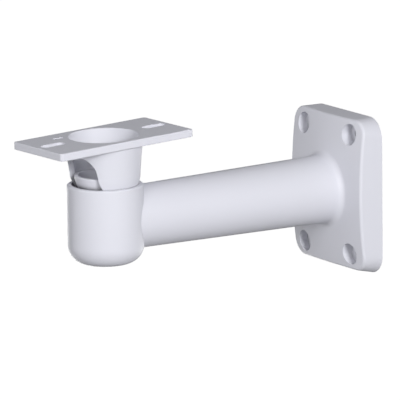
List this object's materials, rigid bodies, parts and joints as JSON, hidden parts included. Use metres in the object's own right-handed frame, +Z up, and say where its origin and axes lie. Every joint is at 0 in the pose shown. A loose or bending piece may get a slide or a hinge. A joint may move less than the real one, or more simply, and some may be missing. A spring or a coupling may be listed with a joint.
{
  "type": "camera wall bracket",
  "caption": "Cast wall bracket for a security camera: domed wall plate, tapered hollow arm, upright cup and a clamped ball-joint head with a slotted camera plate.",
  "frame": {"origin": "on the wall, at the middle of the wall plate's four screw holes and on the arm's axis", "axes": "+Y points into the wall, the arm reaches out along -Y, +Z is up and +X is to the right as seen from the room"},
  "size_m": [0.1064, 0.3158, 0.1449],
  "materials": {
    "painted_arm": "satin light grey paint on cast aluminium",
    "painted_head": "satin light grey paint on cast aluminium",
    "painted_bowl": "satin light grey paint on cast aluminium",
    "plated_steel": "zinc plated"
  },
  "bodies": {
    "arm": {"arm_casting": "painted_arm"},
    "clamp": {"clamp_bowl": "painted_bowl", "clamp_nut": "plated_steel", "clamp_screw": "plated_steel", "flat_washer": "plated_steel", "spring_washer": "plated_steel"},
    "head": {"swivel_head": "painted_head"}
  },
  "joints": [
    {"name": "pan", "type": "hinge", "parent": "arm", "child": "clamp", "pos_m": [0, -0.245, 0.0425], "axis": [0, 0, 1], "continuous": true},
    {"name": "tilt", "type": "hinge", "parent": "clamp", "child": "head", "pos_m": [0, -0.245, 0.0425], "axis": [0.9976, 0.0698, 0], "range_deg": [-21, 18]}
  ]
}
